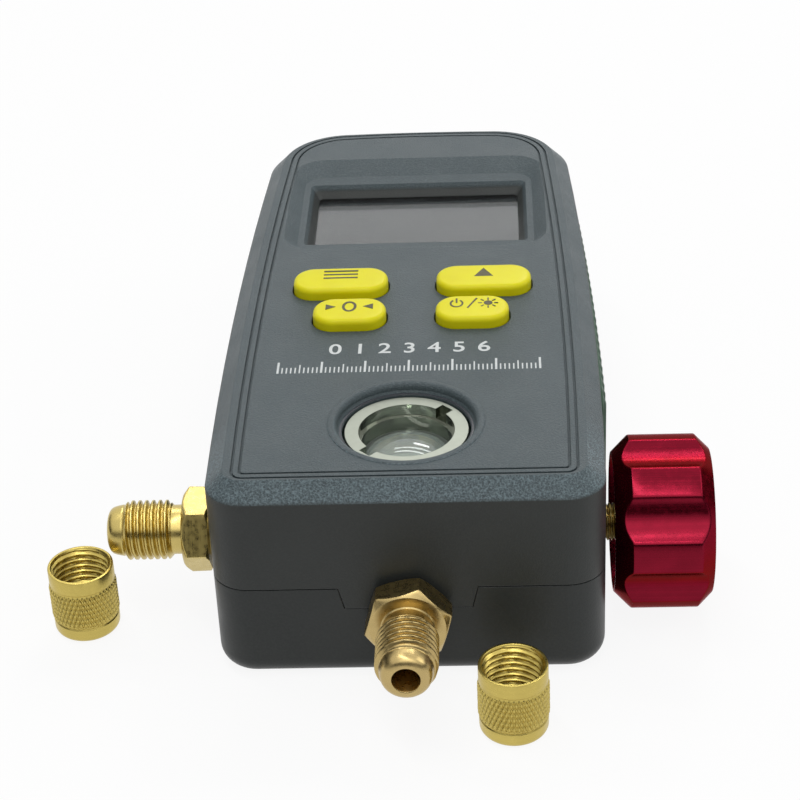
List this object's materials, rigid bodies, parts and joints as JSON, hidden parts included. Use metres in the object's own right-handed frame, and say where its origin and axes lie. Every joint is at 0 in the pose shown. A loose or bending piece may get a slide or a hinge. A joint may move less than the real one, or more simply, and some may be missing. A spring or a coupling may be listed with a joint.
{
  "type": "refrigerant manifold gauge",
  "caption": "Hand-held digital refrigerant manifold gauge with a sight glass, a display, rubber keys, flare ports and a hand valve.",
  "frame": {"origin": "centre of the flat back face", "axes": "+Z out of the front face, +Y from the port end to the display, +X to the valve knob"},
  "size_m": [0.1228, 0.1677, 0.0434],
  "materials": {
    "case_plastic": "fine-grained moulded slate grey",
    "back_plastic": "satin moulded dark grey",
    "grip_rubber": "ribbed dark green",
    "key_rubber": "bright yellow silicone rubber",
    "grey_rubber": "grey silicone rubber",
    "brass": "turned brass",
    "red_anodised": "crimson anodised aluminium",
    "nickel": "nickel plated",
    "steel": "zinc plated steel",
    "clear_glass": "clear glass",
    "clear_window": "clear acrylic",
    "lcd_glass": "grey reflective liquid crystal glass",
    "black_plastic": "black moulded plastic",
    "white_plastic": "milky light guide",
    "board_green": "solder mask",
    "seal_rubber": "black nitrile",
    "cell_jacket": "plain battery sleeve"
  },
  "bodies": {
    "case": {"front_shell": "case_plastic", "rear_shell": "back_plastic", "side_grip_left": "grip_rubber", "side_grip_right": "grip_rubber", "case_screws": "steel", "battery_door": "back_plastic", "battery_door_screw": "steel", "lcd_window": "clear_window", "lcd_panel": "lcd_glass", "lcd_frame": "black_plastic", "backlight": "white_plastic", "elastomer_strips": "grey_rubber", "circuit_board": "board_green", "board_components": "black_plastic", "board_screws": "steel", "keypad_mat": "grey_rubber", "batteries": "cell_jacket", "battery_contacts": "nickel", "manifold_block": "brass", "block_screws": "steel", "front_flare_fitting": "brass", "left_flare_fitting": "brass", "valve_bonnet": "brass", "stem_packing": "seal_rubber", "packing_nut": "brass", "pressure_sensor": "steel", "sight_housing": "nickel", "sight_seal": "seal_rubber", "sight_lens": "clear_glass", "sight_ring": "nickel"},
    "valve_piston": {"valve_piston": "brass", "piston_seal": "seal_rubber"},
    "valve_knob": {"valve_stem": "brass", "valve_knob": "red_anodised", "knob_screw": "steel"},
    "key_upper_left": {"key_upper_left": "key_rubber"},
    "key_upper_right": {"key_upper_right": "key_rubber"},
    "key_lower_left": {"key_lower_left": "key_rubber"},
    "key_lower_right": {"key_lower_right": "key_rubber"},
    "left_flare_cap": {"left_flare_cap": "brass"},
    "front_flare_cap": {"front_flare_cap": "brass"}
  },
  "joints": [
    {"name": "press_upper_left", "type": "slide", "parent": "case", "child": "key_upper_left", "axis": [0, 0, -1], "range_m": [0, 0.0008], "stiffness_N_per_m": 300, "springref_m": -0.001},
    {"name": "press_upper_right", "type": "slide", "parent": "case", "child": "key_upper_right", "axis": [0, 0, -1], "range_m": [0, 0.0008], "stiffness_N_per_m": 300, "springref_m": -0.001},
    {"name": "press_lower_left", "type": "slide", "parent": "case", "child": "key_lower_left", "axis": [0, 0, -1], "range_m": [0, 0.0008], "stiffness_N_per_m": 300, "springref_m": -0.001},
    {"name": "press_lower_right", "type": "slide", "parent": "case", "child": "key_lower_right", "axis": [0, 0, -1], "range_m": [0, 0.0008], "stiffness_N_per_m": 300, "springref_m": -0.001},
    {"name": "valve_travel", "type": "slide", "parent": "case", "child": "valve_piston", "axis": [1, 0, 0], "range_m": [0, 0.0023]},
    {"name": "knob_turn", "type": "hinge", "parent": "valve_piston", "child": "valve_knob", "pos_m": [0.0371, -0.0503, 0.017], "axis": [1, 0, 0], "range_deg": [0, 1080]},
    {"name": "lift_left_cap", "type": "slide", "parent": "case", "child": "left_flare_cap", "axis": [-0.6, 0, 0.8], "range_m": [0, 0.03]},
    {"name": "lift_front_cap", "type": "slide", "parent": "case", "child": "front_flare_cap", "axis": [0, 0, 1], "range_m": [0, 0.03]}
  ],
  "couplings": [
    {"joint": "valve_travel", "follows": "knob_turn", "m_per_rad": 0.00011937}
  ]
}
